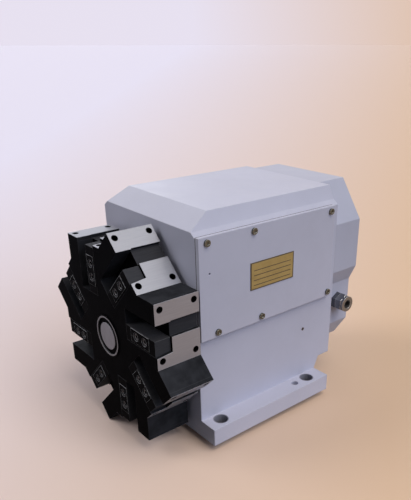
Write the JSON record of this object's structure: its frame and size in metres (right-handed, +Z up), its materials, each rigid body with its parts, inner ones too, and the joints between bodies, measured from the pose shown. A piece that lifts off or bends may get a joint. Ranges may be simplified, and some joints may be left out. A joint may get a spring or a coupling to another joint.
{
  "type": "lathe tool turret",
  "caption": "Lathe tool turret: a pinwheel tool disc with wedge-clamped slots on a flanged, painted housing with hip roof, side cover and rear hood",
  "frame": {"origin": "middle of the base's bottom face", "axes": "+X out of the side cover, +Y from the tool disc to the rear along the spindle, +Z up"},
  "size_m": [0.28, 0.3575, 0.302],
  "materials": {
    "paint": "semi-gloss enamel",
    "black_oxide": "black oxide, satin",
    "ground_steel": "ground",
    "dark_steel": "oiled",
    "bronze": "dull",
    "gold": "satin",
    "rubber": "matt",
    "copper": "varnished winding",
    "motor_grey": "semi-matt"
  },
  "bodies": {
    "housing": {"housing": "paint", "side_cover": "paint", "side_cover_gasket": "rubber", "side_cover_screws": "bronze", "nameplate": "gold", "rear_hood": "paint", "hood_screws": "dark_steel", "gland_body": "dark_steel", "gland_nut": "dark_steel", "gland_seal": "rubber", "coupling_fixed": "ground_steel", "coupling_fixed_screws": "dark_steel", "disc_seal": "rubber", "front_bush": "bronze", "rear_bush": "bronze", "release_coil": "copper", "guide_pins": "ground_steel", "motor_body": "motor_grey", "motor_screws": "dark_steel", "solenoid_body": "dark_steel", "index_switch": "dark_steel", "encoder_body": "motor_grey", "oil_plug": "dark_steel"},
    "turret": {"spindle": "ground_steel", "tool_disc": "black_oxide", "disc_screws_rear": "dark_steel", "hub_ring": "ground_steel", "hub_cap": "black_oxide", "hub_badge": "ground_steel", "coupling_moving": "ground_steel", "coupling_moving_screws": "dark_steel", "drive_gear": "dark_steel", "drive_key": "dark_steel", "gear_spacer": "dark_steel", "index_wheel": "dark_steel", "spindle_nut": "dark_steel"},
    "motor_rotor": {"motor_shaft": "ground_steel", "motor_pinion": "dark_steel"},
    "lock_ring": {"coupling_lock": "ground_steel", "lock_springs": "dark_steel"},
    "index_pin": {"index_pin": "ground_steel"},
    "wedge_1": {"wedge_1": "dark_steel", "wedge_screws_1": "black_oxide"},
    "wedge_2": {"wedge_2": "dark_steel", "wedge_screws_2": "black_oxide"},
    "wedge_3": {"wedge_3": "dark_steel", "wedge_screws_3": "black_oxide"},
    "wedge_4": {"wedge_4": "dark_steel", "wedge_screws_4": "black_oxide"},
    "wedge_5": {"wedge_5": "dark_steel", "wedge_screws_5": "black_oxide"},
    "wedge_6": {"wedge_6": "dark_steel", "wedge_screws_6": "black_oxide"},
    "wedge_7": {"wedge_7": "dark_steel", "wedge_screws_7": "black_oxide"},
    "wedge_8": {"wedge_8": "dark_steel", "wedge_screws_8": "black_oxide"}
  },
  "joints": [
    {"name": "turret_turn", "type": "hinge", "parent": "housing", "child": "turret", "pos_m": [0, -0.105, 0.13], "axis": [0, 1, 0], "continuous": true},
    {"name": "motor_spin", "type": "hinge", "parent": "housing", "child": "motor_rotor", "pos_m": [0, 0, 0.226], "axis": [0, 1, 0], "continuous": true},
    {"name": "lock_slide", "type": "slide", "parent": "housing", "child": "lock_ring", "axis": [0, -1, 0], "range_m": [0, 0.0055]},
    {"name": "index_pin_slide", "type": "slide", "parent": "housing", "child": "index_pin", "axis": [0, 0, 1], "range_m": [0, 0.006], "stiffness_N_per_m": 400, "springref_m": -0.002},
    {"name": "wedge_1_release", "type": "slide", "parent": "turret", "child": "wedge_1", "axis": [0, -1, 0], "range_m": [0, 0.003]},
    {"name": "wedge_2_release", "type": "slide", "parent": "turret", "child": "wedge_2", "axis": [0, -1, 0], "range_m": [0, 0.003]},
    {"name": "wedge_3_release", "type": "slide", "parent": "turret", "child": "wedge_3", "axis": [0, -1, 0], "range_m": [0, 0.003]},
    {"name": "wedge_4_release", "type": "slide", "parent": "turret", "child": "wedge_4", "axis": [0, -1, 0], "range_m": [0, 0.003]},
    {"name": "wedge_5_release", "type": "slide", "parent": "turret", "child": "wedge_5", "axis": [0, -1, 0], "range_m": [0, 0.003]},
    {"name": "wedge_6_release", "type": "slide", "parent": "turret", "child": "wedge_6", "axis": [0, -1, 0], "range_m": [0, 0.003]},
    {"name": "wedge_7_release", "type": "slide", "parent": "turret", "child": "wedge_7", "axis": [0, -1, 0], "range_m": [0, 0.003]},
    {"name": "wedge_8_release", "type": "slide", "parent": "turret", "child": "wedge_8", "axis": [0, -1, 0], "range_m": [0, 0.003]}
  ],
  "couplings": [
    {"joint": "motor_spin", "follows": "turret_turn", "ratio": -3}
  ]
}
